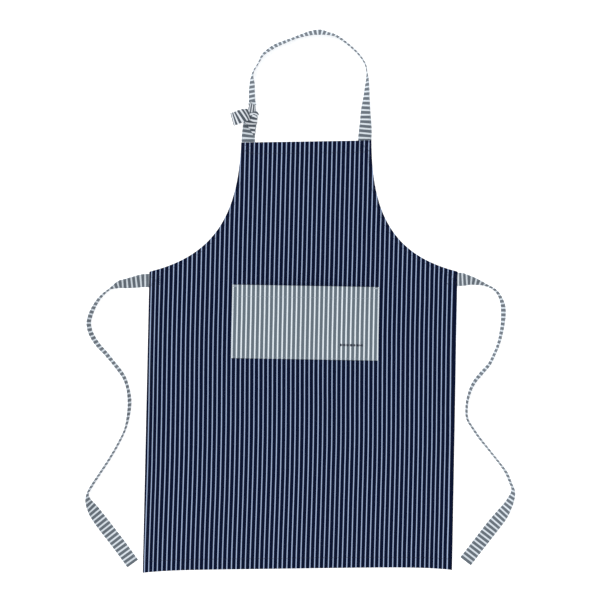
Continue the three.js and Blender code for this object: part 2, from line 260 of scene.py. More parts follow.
def striped_cloth(name, base, stripe, pitch, share, first=0.0, softness=0.05, heather=0.16, wobble=0.0005,
                  sheen=0.08):
    """Woven cloth with lengthwise stripes.

    share is a stripe's part of the pitch, and first is the middle of one stripe.
    """
    surface = Surface(name, roughness=0.92, sheen=sheen, sheen_tint=(0.85, 0.9, 1, 1))
    x, y = surface.cloth_place()

    drift = surface.math("SUBTRACT", surface.noise(x, y, 7, 9), 0.5)
    straight = surface.math("MULTIPLY_ADD", drift, wobble * 2, x)
    turn = surface.math("MULTIPLY_ADD", straight, 1 / pitch, 0.5 - first / pitch)
    off_middle = surface.math("ABSOLUTE", surface.math("SUBTRACT", surface.math("FRACT", turn), 0.5))
    ragged = surface.math("SUBTRACT", surface.noise(x, y, 300, 900), 0.5)
    off_middle = surface.math("MULTIPLY_ADD", ragged, 0.06, off_middle)
    striped = surface.ramp(off_middle, share / 2 - softness, share / 2 + softness, 1, 0)

    yarn_number = surface.math("FLOOR", surface.math("DIVIDE", straight, YARN))
    yarn_shade = surface.node("ShaderNodeTexWhiteNoise", {"W": yarn_number}, noise_dimensions="1D")
    slub = surface.noise(x, y, 1500, 40, detail=3)
    cross_slub = surface.noise(x, y, 40, 1500, detail=3)
    wear = surface.noise(x, y, 14, 11, detail=4)
    shade = surface.math("MULTIPLY_ADD", yarn_shade, heather, 1 - 1.75 * heather)
    shade = surface.math("MULTIPLY_ADD", slub, 1.3 * heather, shade)
    shade = surface.math("MULTIPLY_ADD", cross_slub, 0.7 * heather, shade)
    shade = surface.math("MULTIPLY_ADD", wear, 0.5 * heather, shade)
    tint = surface.mix(striped, base, stripe)
    tint = surface.node("ShaderNodeVectorMath", {0: tint, 3: shade}, operation="SCALE")

    over = surface.math("SINE", surface.math("MULTIPLY", straight, math.pi / YARN))
    under = surface.math("SINE", surface.math("MULTIPLY", y, math.pi / YARN))
    weave = surface.math("MULTIPLY", over, under)
    height = surface.math("MULTIPLY_ADD", slub, 1.5, weave)
    return surface.finish(tint, height, 0.00008, 0.5)


def thread(name, tint):
    """Twisted sewing thread."""
    surface = Surface(name, roughness=0.7, sheen=0.1, specular=0.25)
    x, y = surface.cloth_place()
    lay = surface.math("MULTIPLY_ADD", x, 9000, surface.math("MULTIPLY", y, 3500))
    twist = surface.math("SINE", lay)
    fuzz = surface.noise(x, y, 2500, 2500)
    shade = surface.math("MULTIPLY_ADD", twist, 0.10, surface.math("MULTIPLY_ADD", fuzz, 0.3, 0.85))
    tint = surface.node("ShaderNodeVectorMath", {0: tint[:3], 3: shade}, operation="SCALE")
    return surface.finish(tint, twist, 0.00006, 0.6)


APRON_CLOTH = striped_cloth("apron_cloth", colour(0, 12, 46), colour(174, 194, 229), STRIPE_PITCH, 0.197,
                            first=-0.00415, heather=0.14, softness=0.03, sheen=0.0)
POCKET_CLOTH = striped_cloth("pocket_cloth", colour(104, 117, 128), colour(238, 248, 255), POCKET_PITCH,
                             0.31, heather=0.12, softness=0.03)
TAPE_CLOTH = striped_cloth("tape_cloth", colour(104, 114, 124), colour(226, 235, 243), STRIPE_PITCH, 0.37,
                           heather=0.12, softness=0.03)
# The same tape again with painted shade: its dark stripes are darker, for the shade in the knot's folded
# cloth, and its pale stripes are brighter and wider. The wrap, core, flap and tail all use it.
KNOT_SHADED_CLOTH = striped_cloth("knotted_tape_painted_shade_cloth", colour(84, 93, 103), colour(236, 242, 249),
                           STRIPE_PITCH, 0.42, heather=0.14, softness=0.03)
NAVY_THREAD = thread("navy_thread", colour(20, 30, 56))
PALE_THREAD = thread("pale_thread", colour(176, 188, 200))

# ---- Mesh makers --------------------------------------------------------------------------------

def piece(name, points, faces, cloth, material):
    """A mesh object. cloth holds each point's place on the flat cloth, which its material reads."""
    mesh = bpy.data.meshes.new(name)
    mesh.from_pydata(points.tolist(), [], [face.tolist() for face in faces])
    place = mesh.attributes.new("cloth", "FLOAT_VECTOR", "POINT")
    flat = np.zeros((len(points), 3), np.float32)
    flat[:, :2] = cloth
    place.data.foreach_set("vector", flat.ravel())
    mesh.materials.append(material)
    mesh.shade_smooth()
    made = bpy.data.objects.new(name, mesh)
    bpy.context.scene.collection.objects.link(made)
    return made


def closed_sheet(name, top, bottom, cloth, material):
    """Two grids of points, joined round their rim. Rows run along +Y and columns along +X."""
    rows, columns = top.shape[:2]
    count = rows * columns
    index = np.arange(count).reshape(rows, columns)
    quads = np.stack([index[:-1, :-1], index[:-1, 1:], index[1:, 1:], index[1:, :-1]], -1).reshape(-1, 4)
    rim = np.concatenate([index[0], index[1:, -1], index[-1, -2::-1], index[-2:0:-1, 0]])
    after = np.roll(rim, -1)
    walls = np.stack([rim + count, after + count, after, rim], -1)
    points = np.concatenate([top.reshape(-1, 3), bottom.reshape(-1, 3)])
    faces = np.concatenate([quads, quads[:, ::-1] + count, walls])
    flat = cloth.reshape(-1, 2)
    return piece(name, points, faces, np.concatenate([flat, flat]), material)


def closed_tube(name, rings, cloth, material):
    """Rings of points, one after the other, joined and closed at both ends."""
    stations, around = rings.shape[:2]
    index = np.arange(stations * around).reshape(stations, around)
    beside = np.roll(index, -1, axis=1)
    quads = np.stack([index[:-1], beside[:-1], beside[1:], index[1:]], -1).reshape(-1, 4)
    faces = [*quads, index[0][::-1], index[-1]]
    return piece(name, rings.reshape(-1, 3), faces, cloth.reshape(-1, 2), material)


def sew(name, runs, material, slot, stitch=STITCH, gap=STITCH_GAP):
    """Separate stitches along runs of (points, normals)."""
    starts, ends, normals = [], [], []
    for points, outward in runs:
        here = distances(points)
        count = max(1, round(here[-1] / (stitch + gap)))
        first = (np.arange(count) + gap / (stitch + gap) / 2) * here[-1] / count
        last = first + here[-1] / count * stitch / (stitch + gap)
        starts.append(at_distances(points, here, first))
        ends.append(at_distances(points, here, last))
        normals.append(at_distances(outward, here, (first + last) / 2))
    starts, ends, normals = (np.concatenate(part) for part in (starts, ends, normals))
    return threads(name, starts, ends, normals, material)


def threads(name, starts, ends, normals, material):
    """One short arched length of thread from each start to each end."""
    share = np.array([0, 0.12, 0.35, 0.65, 0.88, 1])
    radius = THREAD_RADIUS * np.array([0.4, 0.85, 1, 1, 0.85, 0.4])
    rise = THREAD_RADIUS * np.array([-0.7, 0.1, 0.5, 0.5, 0.1, -0.7])
    angle = np.arange(6) * math.tau / 6
    along = ends - starts
    side = unit(np.cross(normals, along))
    outward = unit(np.cross(along, side))
    lift = rise[:, None] + radius[:, None] * np.sin(angle)
    aside = radius[:, None] * np.cos(angle)
    rings = (starts[:, None, None] + along[:, None, None] * share[:, None, None]
             + outward[:, None, None] * lift[..., None] + side[:, None, None] * aside[..., None])
    count, stations, around = rings.shape[:3]
    index = np.arange(count * stations * around).reshape(count, stations, around)
    beside = np.roll(index, -1, axis=2)
    quads = np.stack([index[:, :-1], beside[:, :-1], beside[:, 1:], index[:, 1:]], -1).reshape(-1, 4)
    faces = [*quads, *index[:, 0, ::-1], *index[:, -1]]
    length = np.linalg.norm(along, axis=1)[:, None, None]
    cloth = np.zeros(rings.shape[:3] + (2,))
    cloth[..., 0] = share[:, None] * length
    cloth[..., 1] = angle * THREAD_RADIUS
    return piece(name, rings.reshape(-1, 3), faces, cloth.reshape(-1, 2), material)


# ---- Camera, light and floor --------------------------------------------------------------------

CAMERA_HEIGHT = 4.192
CAMERA_LENS = 120
WORLD_LIGHT = 0.87
SUN_LIGHT = 1.05                         # the soft light from the upper left
PAPER_GLOW = 0.42                        # lifts the floor to white, as paper lit from below

scene = bpy.context.scene
scene.view_settings.view_transform = "Standard"

camera_data = bpy.data.cameras.new("camera")
camera_data.lens = CAMERA_LENS
camera_data.clip_end = 200
camera = bpy.data.objects.new("camera", camera_data)
camera.location = (-0.0015, 0.0022, CAMERA_HEIGHT)
scene.collection.objects.link(camera)
scene.camera = camera

world = bpy.data.worlds.new("studio")
world.use_nodes = True
world.node_tree.nodes["Background"].inputs["Strength"].default_value = WORLD_LIGHT
world.node_tree.nodes["Background"].inputs["Color"].default_value = (1, 1, 1, 1)
scene.world = world

sun_data = bpy.data.lights.new("soft_light", "SUN")
sun_data.energy = SUN_LIGHT
sun_data.angle = math.radians(50)
sun = bpy.data.objects.new("soft_light", sun_data)
sun.rotation_euler = (math.radians(-25), math.radians(-28), 0)
scene.collection.objects.link(sun)

bpy.ops.mesh.primitive_plane_add(size=120, location=(0, 0, -0.0002))
floor = bpy.context.object
floor.name = "floor"
paper = Surface("pale_paper", roughness=1, specular=0)
paper.shader.inputs["Base Color"].default_value = (0.95, 0.95, 0.95, 1)
paper.shader.inputs["Emission Color"].default_value = (1, 1, 1, 1)
paper.shader.inputs["Emission Strength"].default_value = PAPER_GLOW
floor.data.materials.append(paper.material)

# ---- Tapes --------------------------------------------------------------------------------------

TAPE_STATION = 0.002
TAPE_SEAM = 0.0022                       # the edge sewing's distance from a tape's edge
PUCKER = 0.00025                         # height of the ripple that the sewing draws up


class Line:
    """A tape's way: its middle at each station, its across and face directions, and the distance."""

    def __init__(self, route, spacing=TAPE_STATION):
        dense = curve_through(route)
        lean = np.radians(dense[:, 2])
        height = (np.abs(np.sin(lean)) * TAPE_WIDTH + np.abs(np.cos(lean)) * TAPE_THICK) / 2
        middle = np.column_stack([WAIST.x + dense[:, 0], WAIST.y + dense[:, 1], height])
        here = distances(middle)
        self.distance = np.linspace(0, here[-1], round(here[-1] / spacing) + 1)
        self.middle = at_distances(middle, here, self.distance)
        lean = np.interp(self.distance, here, lean)[:, None]
        heading = unit(np.gradient(self.middle, axis=0))
        side = unit(np.column_stack([-heading[:, 1], heading[:, 0], np.zeros(len(heading))]))
        up = np.cross(heading, side)
        self.across = side * np.cos(lean) - up * np.sin(lean)
        self.face = up * np.cos(lean) + side * np.sin(lean)


def tape_piece(name, line, widths=TAPE_WIDTH, curl=0.0, start=0.0, stretch=1.0, material=None):
    """A tape with soft edges, sunk a little along its two rows of edge sewing.

    start is the distance at which the stripes begin, and stretch makes their pitch longer. curl bends the
    two edges away from the face.
    """
    stations = len(line.middle)
    widths = np.broadcast_to(widths, stations)[:, None]
    curl = np.broadcast_to(curl, stations)[:, None]
    steps = np.concatenate([[-1, -0.985, -0.95, -0.9, -0.835], np.linspace(-0.75, 0.75, 9),
                            [0.835, 0.9, 0.95, 0.985, 1]])
    share = np.concatenate([steps, steps[-2:0:-1]])
    sign = np.concatenate([-np.ones(len(steps)), np.ones(len(steps) - 2)])
    seam = 1 - TAPE_SEAM / (TAPE_WIDTH / 2)
    plump = (1 - np.abs(share) ** 12) ** 0.5 * (1 - 0.3 * np.exp(-((np.abs(share) - seam) / 0.05) ** 2))
    across = share * widths / 2
    ripple = np.sin(line.distance * 880 + 1.7 * np.sin(line.distance * 61))[:, None]
    bow = PUCKER * ripple * share ** 4 - curl * share ** 2
    out = sign * plump * TAPE_THICK / 2 + bow
    rings = (line.middle[:, None] + line.across[:, None] * across[..., None]
             + line.face[:, None] * out[..., None])
    along = np.broadcast_to((line.distance - start)[:, None] / stretch, across.shape)
    cloth = np.stack([along, across], -1)
    return closed_tube(name, rings, cloth, material or TAPE_CLOTH)


def edge_runs(line, first, last):
    """The two rows of edge sewing on both faces of a tape, between two distances along it."""
    keep = (line.distance >= first) & (line.distance <= last)
    runs = []
    for edge in (-1, 1):
        for face in (-1, 1):
            aside = line.across * edge * (TAPE_WIDTH / 2 - TAPE_SEAM)
            offset = aside + line.face * face * TAPE_THICK * 0.36
            runs.append(((line.middle + offset)[keep], (line.face * face)[keep]))
    return runs


def end_run(line, back):
    """A row of sewing across a tape, a distance back from its end, on both faces."""
    place = int(np.searchsorted(line.distance, line.distance[-1] - back))
    share = np.linspace(-1, 1, 9)[:, None] * (TAPE_WIDTH / 2 - TAPE_SEAM)
    runs = []
    for face in (-1, 1):
        outward = line.face[place] * face
        points = line.middle[place] + line.across[place] * share + outward * TAPE_THICK * 0.45
        runs.append((points, np.repeat([outward], len(points), axis=0)))
    return runs


END_HEM = 0.009                          # the ties' free ends are turned in and sewn this far back


def waist_tie(side, sign, v, route, first_stripe):
    """A waist tie in one length, from under the skirt's side hem to its free end."""
    edge = sign * SKIRT_WIDTH / 2
    caught = [(edge - sign * SEWN_IN, v, 0), (edge - sign * SEWN_IN / 2, v, 0)]
    line = Line(caught + route)
    tie = tape_piece(f"tie_{side}_tape", line, start=SEWN_IN + first_stripe)
    runs = edge_runs(line, 0, line.distance[-1] - 0.002) + end_run(line, END_HEM)
    sewing = sew(f"tie_{side}_stitching", runs, PALE_THREAD, "pale_thread")
    for part in (tie, sewing):
        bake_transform(part)
    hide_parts(f"tie_{side}", f"tie_{side}_sewn_end")


waist_tie("left", -1, TIE_LEFT_V, TIE_LEFT_ROUTE, first_stripe=0.0089)
waist_tie("right", 1, TIE_RIGHT_V, TIE_RIGHT_ROUTE, first_stripe=0.0005)

# ---- Neck straps and their knot -----------------------------------------------------------------

def neck_strap(name, u, route, start, stretch=1.0):
    """A neck strap from under the bib's top hem to the knot, with its sewing."""
    root = [(u, BIB_HEIGHT - SEWN_IN, 0), (u, BIB_HEIGHT - SEWN_IN / 2, 0)]
    line = Line(root + route)
    strap = tape_piece(name, line, start=SEWN_IN + start, stretch=stretch)
    runs = edge_runs(line, 0, line.distance[-1] - 0.006)
    sewing = sew(f"{name}_stitching", runs, PALE_THREAD, "pale_thread")
    for part in (strap, sewing):
        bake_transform(part)
    return line, strap, sewing


def bundle(way, gathers):
    """Rings of a rounded roll of bunched tape. Each point of way is (x, y, z, half width, half depth)."""
    dense = curve_through(way, per_span=8)
    middle = dense[:, :3] + [WAIST.x, WAIST.y, 0]
    heading = unit(np.gradient(middle, axis=0))
    side = unit(np.column_stack([-heading[:, 1], heading[:, 0], np.zeros(len(heading))]))
    up = np.cross(heading, side)
    angle = np.arange(72) * math.tau / 72
    share = np.linspace(0, 1, len(dense))[:, None]
    ridges = gathers * np.abs(np.sin(4.5 * angle + 1.2 * share))
    creases = 0.6 * gathers * np.cos(13 * angle - 4 * share)
    fold = 1 - ridges - creases
    across = dense[:, 3:4] * np.cos(angle) * fold
    out = dense[:, 4:5] * np.sin(angle) * fold
    rings = middle[:, None] + side[:, None] * across[..., None] + up[:, None] * out[..., None]
    return rings, angle, share


class FreeLine:
    """A short tape's way through points of (x, y, z, width, curl, skew), facing up."""

    def __init__(self, way, spacing=0.001):
        dense = curve_through(way)
        middle = dense[:, :3] + [WAIST.x, WAIST.y, 0]
        here = distances(middle)
        self.distance = np.linspace(0, here[-1], round(here[-1] / spacing) + 1)
        self.middle = at_distances(middle, here, self.distance)
        self.width, self.curl, skew = at_distances(dense[:, 3:6], here, self.distance).T
        heading = unit(np.gradient(self.middle, axis=0))
        side = unit(np.column_stack([-heading[:, 1], heading[:, 0], np.zeros(len(heading))]))
        self.face = np.cross(heading, side)
        self.across = unit(side + skew[:, None] * heading)


long_line, neck_long, neck_long_sewing = neck_strap(
    "neck_long_tape", NECK_LONG_U, NECK_LONG_ROUTE + [(-0.1075, 0.349, 130)], start=0.0075,
    stretch=1.0087)
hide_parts("neck_strap_long", "neck_long_sewn_end")

_, neck_short, neck_short_sewing = neck_strap(
    "neck_short_tape", NECK_SHORT_U, NECK_SHORT_ROUTE + [(-0.110, 0.328, 0)], start=0.0066)
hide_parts("neck_strap_short", "neck_short_sewn_end")

# The wrap goes round the long strap and is gathered: its stripes run along the strap.
rings, angle, share = bundle([
    (-0.1078, 0.3550, 0.0076, 0.0047, 0.0052), (-0.1078, 0.3520, 0.0078, 0.0055, 0.0058),
    (-0.1079, 0.3475, 0.0080, 0.0068, 0.0066), (-0.1080, 0.3425, 0.0081, 0.0077, 0.0071),
    (-0.1081, 0.3370, 0.0080, 0.0079, 0.0072), (-0.1080, 0.3325, 0.0078, 0.0070, 0.0064),
    (-0.1078, 0.3295, 0.0074, 0.0052, 0.0048),
], gathers=0.07)
around = (angle - math.pi / 2 + 0.4 * (1 - 1.5 * share)) * 0.0125
along = np.broadcast_to(share * 0.025, around.shape)
neck_wrap = closed_tube("neck_knot_wrap", rings, np.stack([around, along], -1), KNOT_SHADED_CLOTH)

# The core is the turn of tape inside the knot.
rings, angle, share = bundle([
    (-0.1215, 0.3265, 0.0070, 0.0050, 0.0036), (-0.1180, 0.3275, 0.0074, 0.0086, 0.0056),
    (-0.1110, 0.3282, 0.0078, 0.0100, 0.0070), (-0.1040, 0.3280, 0.0078, 0.0098, 0.0071),
    (-0.0998, 0.3262, 0.0074, 0.0080, 0.0060), (-0.0984, 0.3248, 0.0070, 0.0050, 0.0040),
], gathers=0.06)
around = (angle - 0.9 + 0.8 * share) * 0.0100
along = np.broadcast_to(share * 0.024, around.shape)
neck_core = closed_tube("neck_knot_core", rings, np.stack([around, along], -1), KNOT_SHADED_CLOTH)

# One end is folded down over the short strap and narrows to a point.
flap_line = FreeLine([
    (-0.1026, 0.3345, 0.0095, 0.0110, 0.0030, 0.25), (-0.1036, 0.3290, 0.0140, 0.0138, 0.0050, 0.20),
    (-0.1048, 0.3225, 0.0156, 0.0152, 0.0052, 0.0), (-0.1078, 0.3165, 0.0136, 0.0210, 0.0040, -0.38),
    (-0.1106, 0.3120, 0.0092, 0.0252, 0.0026, -0.05), (-0.1100, 0.3070, 0.0060, 0.0204, 0.0012, 0.34),
    (-0.1080, 0.3010, 0.0046, 0.0142, 0.0006, 0.40), (-0.1054, 0.2918, 0.0036, 0.0070, 0.0002, 0.40),
    (-0.1032, 0.2840, 0.0031, 0.0022, 0.0, 0.40),
])
neck_flap = tape_piece("neck_flap_tape", flap_line, widths=flap_line.width, curl=flap_line.curl,
                       start=0.0020, material=KNOT_SHADED_CLOTH)

# The other end arches out to the left at its full width.
tail_line = FreeLine([
    (-0.1080, 0.3318, 0.0080, 0.0170, 0.0020, -0.16), (-0.1165, 0.3293, 0.0160, 0.0250, 0.0012, -0.18),
    (-0.1230, 0.3267, 0.0240, 0.0278, 0.0006, -0.25), (-0.1300, 0.3240, 0.0268, TAPE_WIDTH, 0.0, -0.27),
    (-0.1370, 0.3216, 0.0240, TAPE_WIDTH, 0.0, -0.22), (-0.1430, 0.3198, 0.0180, TAPE_WIDTH, 0.0, -0.15),
    (-0.1495, 0.3184, 0.0095, TAPE_WIDTH, 0.0, -0.10),
])
TAIL_FIRST_DARK = 0.0093                 # middle of the dark stripe nearest the tail's end
tail_start = tail_line.distance[-1] - TAIL_FIRST_DARK - STRIPE_PITCH / 2
neck_tail = tape_piece("neck_tail_tape", tail_line, widths=tail_line.width, curl=tail_line.curl,
                       start=tail_start, material=KNOT_SHADED_CLOTH)

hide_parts("neck_knot")
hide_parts("neck_flap")
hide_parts("neck_tail")
knot_pieces = [neck_wrap, neck_core, neck_flap, neck_tail]
for part in knot_pieces:
    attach(part, "neck_loop")

# ---- The apron's outline and how it lies --------------------------------------------------------

ARMHOLE = np.array([(SKIRT_WIDTH / 2, ARMHOLE_LIFT), *ARMHOLE_BEND, (BIB_TOP_WIDTH / 2, BIB_HEIGHT)])


def armhole(t):
    """Points (u, v) along the right-hand armhole and their directions."""
    t = np.asarray(t, float)[:, None]
    a, b, c, d = ARMHOLE
    point = a * (1 - t) ** 3 + 3 * b * t * (1 - t) ** 2 + 3 * c * t ** 2 * (1 - t) + d * t ** 3
    slope = (b - a) * (1 - t) ** 2 + 2 * (c - b) * t * (1 - t) + (d - c) * t ** 2
    return point, unit(slope)


hole_points, hole_slopes = armhole(np.linspace(0, 1, 241))


def half_width(v):
    return np.where(v <= ARMHOLE_LIFT, SKIRT_WIDTH / 2, np.interp(v, hole_points[:, 1], hole_points[:, 0]))


def edge_slant(v):
    """How much longer a sideways step is than the way straight in from the edge."""
    return np.where(v <= ARMHOLE_LIFT, 1, 1 / np.interp(v, hole_points[:, 1], hole_slopes[:, 1]))


def edge_distance(u, v):
    """How far a point of the cloth is from the nearest edge."""
    from_side = np.where(v <= 0, SKIRT_WIDTH / 2 - np.abs(u), 1)
    away = np.hypot(np.abs(u)[..., None] - hole_points[::2, 0], v[..., None] - hole_points[::2, 1])
    ends = np.minimum(v + SKIRT_LENGTH, BIB_HEIGHT - v)
    return np.clip(np.minimum(np.minimum(from_side, away.min(axis=-1)), ends), 0, None)


def lay(u, v):
    """Where a point of the cloth lies, seen from above: leaning, its top askew and its bottom drawn up."""
    side = u / (SKIRT_WIDTH / 2)
    top_tilt = 0.0164 * u * np.clip(v / BIB_HEIGHT, 0, 1) ** 2
    down = np.clip(-v / SKIRT_LENGTH, 0, 1)
    drawn_up = 0.0030 * (1 + side) + 0.0060 * (1 - side ** 6) + 0.0015 * side * (1 - side ** 2)
    aside = LEAN * v + 0.0013 * side * down - 0.0013 * smooth(side, 0.8, 1) * smooth(v, 0.02, -0.02)
    return WAIST.x + u + aside, WAIST.y + v + top_tilt + drawn_up * down ** 2


SEWN_ENDS = [
    (-(SKIRT_WIDTH - SEWN_IN) / 2, TIE_LEFT_V, SEWN_IN / 2, TAPE_WIDTH / 2),
    ((SKIRT_WIDTH - SEWN_IN) / 2, TIE_RIGHT_V, SEWN_IN / 2, TAPE_WIDTH / 2),
    (NECK_LONG_U - LEAN * BIB_HEIGHT, BIB_HEIGHT - SEWN_IN / 2, TAPE_WIDTH / 2, SEWN_IN / 2),
    (NECK_SHORT_U - LEAN * BIB_HEIGHT, BIB_HEIGHT - SEWN_IN / 2, TAPE_WIDTH / 2, SEWN_IN / 2),
]


def over_tape(u, v):
    """1 over the tapes' sewn ends and 0 away from them."""
    total = 0
    for middle_u, middle_v, half_u, half_v in SEWN_ENDS:
        beside_u = 1 - smooth(np.abs(u - middle_u) - half_u, 0.0005, 0.0045)
        beside_v = 1 - smooth(np.abs(v - middle_v) - half_v, 0.0005, 0.0045)
        total = total + beside_u * beside_v
    return total


def slow_waves(u, v):
    """The gentle rise and fall of cloth that was folded once and is now laid out."""
    return (0.55 * np.sin(23 * u + 6 * v + 0.4) + 0.50 * np.sin(-9 * u + 19 * v + 1.9)
            + 0.35 * np.sin(41 * u - 11 * v + 3.1) + 0.30 * np.sin(15 * u + 37 * v + 5.0))


def panel_top(u, v):
    """Height of the apron cloth's upper side."""
    inside = edge_distance(u, v)
    waves = WAVE * (slow_waves(u, v) + 1.2) * smooth(inside, 0.025, 0.10)
    return PANEL_TOP - SAG * smooth(inside, 0.012, 0.026) + waves + 0.0008 * over_tape(u, v)


def roll_off(inset, radius=EDGE_ROLL):
    """How far a folded edge has dropped, as a share of its radius, at a distance in from the edge."""
    left = np.clip(1 - inset / radius, 0, 1)
    return 1 - np.sqrt(1 - left ** 2)


# ---- Apron cloth --------------------------------------------------------------------------------

EDGE_STEPS = np.array([0, 0.0002, 0.0005, 0.0009, 0.0015, 0.003, 0.006, 0.009, 0.012, 0.016, 0.020])


def to_ends(low, high, step, edges=EDGE_STEPS):
    """Places from low to high, close together near both ends."""
    inner = edges[-1]
    count = max(2, round((high - low - 2 * inner) / step))
    middle = np.linspace(low + inner, high - inner, count + 1)[1:-1]
    return np.concatenate([low + edges, middle, high - edges[::-1]])


def across_stripes(u, v):
    """A point's place across the stripes, which wander as the cloth is pulled a little askew."""
    side = u / (SKIRT_WIDTH / 2)
    middle_of_skirt = 0.0042 * smooth(-v, 0.10, 0.40) * (1 - 0.5 * side ** 2 + 0.06 * side)
    eased = 0.0012 * smooth(-v, 0.42, 0.62) * (1 - 1.2 * np.clip(side, 0, 1))
    from_left = u + SKIRT_WIDTH / 2
    from_right = SKIRT_WIDTH / 2 - u
    crowded = 0.0025 * smooth(-from_left, -0.030, 0) + 0.0024 * smooth(-from_right, -0.014, 0)
    return u - 0.0038 * v - middle_of_skirt + eased - crowded


def apron_rows():
    skirt = to_ends(-SKIRT_LENGTH, 0, 0.0055)
    bib = armhole(np.linspace(0, 1, 110))[0][1:, 1]
    bib = bib[bib < BIB_HEIGHT - EDGE_STEPS[-1] - 0.001]
    return np.concatenate([skirt, bib, BIB_HEIGHT - EDGE_STEPS[::-1]])


def apron_cloth():
    v = apron_rows()
    slant = np.where(v > 0, edge_slant(v), 1 + (edge_slant(0.0005) - 1) * smooth(v, -0.08, 0))
    inset = EDGE_STEPS[None, :] * slant[:, None]
    edge = half_width(v)[:, None]
    middle = np.linspace(-1, 1, 112)[None, 1:-1] * (edge - inset[:, -1:])
    u = np.concatenate([inset - edge, middle, edge - inset[:, ::-1]], axis=1)
    v = np.broadcast_to(v[:, None], u.shape)

    from_side = (edge - np.abs(u)) / edge_slant(v)
    from_edge = np.minimum(from_side, np.minimum(v + SKIRT_LENGTH, BIB_HEIGHT - v))
    dropped = roll_off(from_edge)
    x, y = lay(u, v)
    flat_top = panel_top(u, v)
    rim = 0.00015 + 0.0016 * over_tape(u, v)
    top = np.stack([x, y, flat_top - EDGE_ROLL * dropped], -1)
    bottom = np.stack([x, y, (flat_top - CLOTH) * (1 - dropped) + rim * dropped], -1)
    cloth = np.stack([across_stripes(u, v), v], -1)
    return closed_sheet("apron_cloth", top, bottom, cloth, APRON_CLOTH)


apron = apron_cloth()
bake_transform(apron)
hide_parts("skirt_panel", "bib_panel")

# ---- Hems turned under the apron cloth ----------------------------------------------------------

HEM_EDGES = np.array([0, 0.0003, 0.0010])
HEM_LOW = 0.0001


def turned_hem(name, outer, inner, cloth_outer, cloth_inner, body=None):
    """A layer lying under the cloth between two lines of (u, v) points, running left to right or upward."""
    width = np.linalg.norm(outer - inner, axis=1).mean()
    share = to_ends(0, 1, 0.25, HEM_EDGES / width)[:, None, None]
    place = outer * (1 - share) + inner * share
    flat = cloth_outer * (1 - share) + cloth_inner * share
    x, y = lay(place[..., 0], place[..., 1])
    thin = 0.35 * (roll_off(share * width, 0.0006) + roll_off((1 - share) * width, 0.0006))[..., 0]
    thin = np.broadcast_to(thin, x.shape) * CLOTH
    top = np.stack([x, y, HEM_LOW + CLOTH - thin], -1)
    bottom = np.stack([x, y, HEM_LOW + thin], -1)
    along = outer[1] - outer[0]
    inward = inner[0] - outer[0]
    if along[0] * inward[1] - along[1] * inward[0] < 0:
        top, bottom, flat = top[::-1], bottom[::-1], flat[::-1]
    made = closed_sheet(f"{name}_cloth", top, bottom, flat, APRON_CLOTH)
    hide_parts(name)
    if body:
        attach(made, body)
    return made


def straight_line(start, end, step=0.006):
    count = max(2, round(math.dist(start, end) / step))
    return np.linspace(start, end, count + 1)


HEM_INSET = 0.0006

low = -SKIRT_LENGTH + HEM_INSET
outer = straight_line((-SKIRT_WIDTH / 2 + HEM_INSET, low), (SKIRT_WIDTH / 2 - HEM_INSET, low))
inner = outer + [0, BOTTOM_HEM]
turned_hem("bottom_hem", outer, inner, outer, inner, "skirt")

for side, sign in (("left", -1), ("right", 1)):
    edge = sign * (SKIRT_WIDTH / 2 - HEM_INSET)
    top_end = TIE_LEFT_V - TAPE_WIDTH / 2 - 0.001
    outer = straight_line((edge, -SKIRT_LENGTH + BOTTOM_HEM + 0.001), (edge, top_end))
    inner = outer - [sign * SIDE_HEM, 0]
    turned_hem(f"side_hem_{side}", outer, inner, outer, outer + [sign * SIDE_HEM, 0], "skirt")

    points, slopes = armhole(np.linspace(0.2, 0.92, 60))
    inward = np.column_stack([-slopes[:, 1], slopes[:, 0]])
    outer = (points + inward * HEM_INSET) * [sign, 1]
    inner = (points + inward * ARMHOLE_HEM) * [sign, 1]
    hem = turned_hem(f"armhole_hem_{side}", outer, inner, outer, 2 * outer - inner)
    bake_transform(hem)

top_half = NECK_LONG_U - LEAN * BIB_HEIGHT - TAPE_WIDTH / 2 - 0.001
left_half = NECK_SHORT_U - LEAN * BIB_HEIGHT + TAPE_WIDTH / 2 + 0.001
outer = straight_line((left_half, BIB_HEIGHT - HEM_INSET), (top_half, BIB_HEIGHT - HEM_INSET))
inner = outer - [0, TOP_HEM]
turned_hem("bib_top_hem", outer, inner, outer, inner, "bib")

# ---- Sewing on the apron cloth ------------------------------------------------------------------

def on_apron(points):
    """A run of sewing along a line of (u, v) points on the apron cloth."""
    here = distances(points)
    dense = at_distances(np.array(points, float), here, np.linspace(0, here[-1], 400))
    u, v = dense.T
    x, y = lay(u, v)
    return np.column_stack([x, y, panel_top(u, v)]), np.tile([0, 0, 1.0], (len(u), 1))


def tack_runs(middle_u, middle_v):
    """A box with a cross in it."""
    half = TACK_SIZE / 2
    corners = np.array([(-half, -half), (half, -half), (half, half), (-half, half), (-half, -half)])
    corners = corners + [middle_u, middle_v]
    sides = [on_apron(corners[i:i + 2]) for i in range(4)]
    return sides + [on_apron(corners[[0, 2]]), on_apron(corners[[1, 3]])]


def apron_sewing(name, runs, body=None):
    made = sew(f"{name}_thread", runs, NAVY_THREAD, "navy_thread")
    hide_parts(name)
    if body:
        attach(made, body)
    return made


